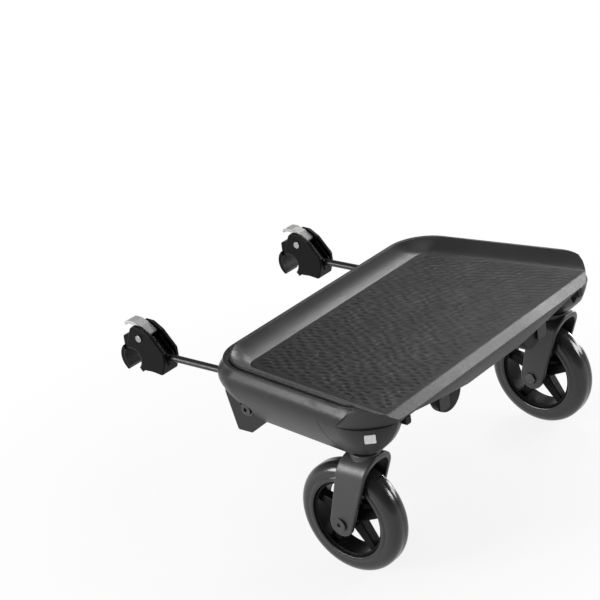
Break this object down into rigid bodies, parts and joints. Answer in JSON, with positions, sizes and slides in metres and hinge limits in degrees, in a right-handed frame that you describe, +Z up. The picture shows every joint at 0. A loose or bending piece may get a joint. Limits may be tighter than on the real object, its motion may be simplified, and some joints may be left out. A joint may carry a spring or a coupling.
{
  "type": "buggy board",
  "caption": "Ride-on standing board with a flared rimmed deck and grip mat on swivel casters, towed by two hinged arms that clamp a round axle.",
  "frame": {"origin": "on the floor under the middle of the board's bounding box", "axes": "+X across the board, +Y along the tow arms towards the clamps, +Z up"},
  "size_m": [0.427, 0.4066, 0.207],
  "materials": {
    "shell_plastic": "fine matte grain",
    "tray_plastic": "fine matte grain",
    "black_plastic": "matte",
    "grey_plastic": "satin",
    "mat_rubber": "embossed with fine ripples",
    "black_rubber": "matte",
    "tyre": "smooth with a soft sheen",
    "steel": "zinc plated",
    "black_steel": "black powder coat"
  },
  "bodies": {
    "deck": {"deck_base": "shell_plastic", "deck_tray": "tray_plastic", "grip_mat": "mat_rubber", "pivot_shaft": "steel", "shaft_screws": "steel", "shaft_washers": "steel", "rear_bumpers": "black_rubber", "corner_pads": "black_rubber", "tray_screws": "steel", "housing_screws": "steel", "left_caster_housing": "shell_plastic", "left_stem_bush": "black_plastic", "left_button_spring": "steel", "right_caster_housing": "shell_plastic", "right_stem_bush": "black_plastic", "right_button_spring": "steel"},
    "left_caster": {"left_caster_fork": "black_plastic", "left_caster_stem": "steel", "left_axle_bolt": "steel", "left_axle_nut": "steel", "left_axle_spacers": "black_plastic"},
    "left_wheel": {"left_wheel_hub": "black_plastic", "left_tyre": "tyre", "left_wheel_bearings": "steel"},
    "left_button": {"left_release_button": "grey_plastic", "left_latch_plate": "steel"},
    "left_arm": {"left_arm_knuckle": "black_plastic", "left_arm_rod": "black_steel", "left_clamp_body": "black_plastic", "left_saddle_pad": "black_rubber", "left_clamp_pin": "steel"},
    "left_jaw": {"left_clamp_jaw": "black_plastic", "left_jaw_pad": "black_rubber"},
    "left_lever": {"left_clamp_lever": "grey_plastic"},
    "right_caster": {"right_caster_fork": "black_plastic", "right_caster_stem": "steel", "right_axle_bolt": "steel", "right_axle_nut": "steel", "right_axle_spacers": "black_plastic"},
    "right_wheel": {"right_wheel_hub": "black_plastic", "right_tyre": "tyre", "right_wheel_bearings": "steel"},
    "right_button": {"right_release_button": "grey_plastic", "right_latch_plate": "steel"},
    "right_arm": {"right_arm_knuckle": "black_plastic", "right_arm_rod": "black_steel", "right_clamp_body": "black_plastic", "right_saddle_pad": "black_rubber", "right_clamp_pin": "steel"},
    "right_jaw": {"right_clamp_jaw": "black_plastic", "right_jaw_pad": "black_rubber"},
    "right_lever": {"right_clamp_lever": "grey_plastic"}
  },
  "joints": [
    {"name": "left_swivel", "type": "hinge", "parent": "deck", "child": "left_caster", "pos_m": [-0.18, -0.15755, 0.143], "axis": [0, 0, 1], "continuous": true},
    {"name": "left_wheel_spin", "type": "hinge", "parent": "left_caster", "child": "left_wheel", "pos_m": [-0.18, -0.13355, 0.0625], "axis": [1, 0, 0], "continuous": true},
    {"name": "left_button", "type": "slide", "parent": "deck", "child": "left_button", "axis": [0.7891, 0.6143, 0], "range_m": [0, 0.0035], "stiffness_N_per_m": 500, "springref_m": -0.004, "deforming": ["left_button_spring"]},
    {"name": "left_arm_pivot", "type": "hinge", "parent": "deck", "child": "left_arm", "pos_m": [-0.1407, -0.00585, 0.1556], "axis": [1, 0, 0], "range_deg": [-40, 12]},
    {"name": "left_lever", "type": "hinge", "parent": "left_arm", "child": "left_lever", "pos_m": [-0.1407, 0.16945, 0.19], "axis": [1, 0, 0], "range_deg": [0, 90]},
    {"name": "left_jaw", "type": "hinge", "parent": "left_arm", "child": "left_jaw", "pos_m": [-0.1407, 0.16945, 0.19], "axis": [1, 0, 0], "range_deg": [0, 45]},
    {"name": "right_swivel", "type": "hinge", "parent": "deck", "child": "right_caster", "pos_m": [0.18, -0.15755, 0.143], "axis": [0, 0, 1], "continuous": true},
    {"name": "right_wheel_spin", "type": "hinge", "parent": "right_caster", "child": "right_wheel", "pos_m": [0.18, -0.13355, 0.0625], "axis": [1, 0, 0], "continuous": true},
    {"name": "right_button", "type": "slide", "parent": "deck", "child": "right_button", "axis": [-0.7891, 0.6143, 0], "range_m": [0, 0.0035], "stiffness_N_per_m": 500, "springref_m": -0.004, "deforming": ["right_button_spring"]},
    {"name": "right_arm_pivot", "type": "hinge", "parent": "deck", "child": "right_arm", "pos_m": [0.1407, -0.00585, 0.1556], "axis": [1, 0, 0], "range_deg": [-40, 12]},
    {"name": "right_lever", "type": "hinge", "parent": "right_arm", "child": "right_lever", "pos_m": [0.1407, 0.16945, 0.19], "axis": [1, 0, 0], "range_deg": [0, 90]},
    {"name": "right_jaw", "type": "hinge", "parent": "right_arm", "child": "right_jaw", "pos_m": [0.1407, 0.16945, 0.19], "axis": [1, 0, 0], "range_deg": [0, 45]}
  ],
  "couplings": [
    {"joint": "left_jaw", "follows": "left_lever", "ratio": 0.5},
    {"joint": "right_jaw", "follows": "right_lever", "ratio": 0.5}
  ]
}
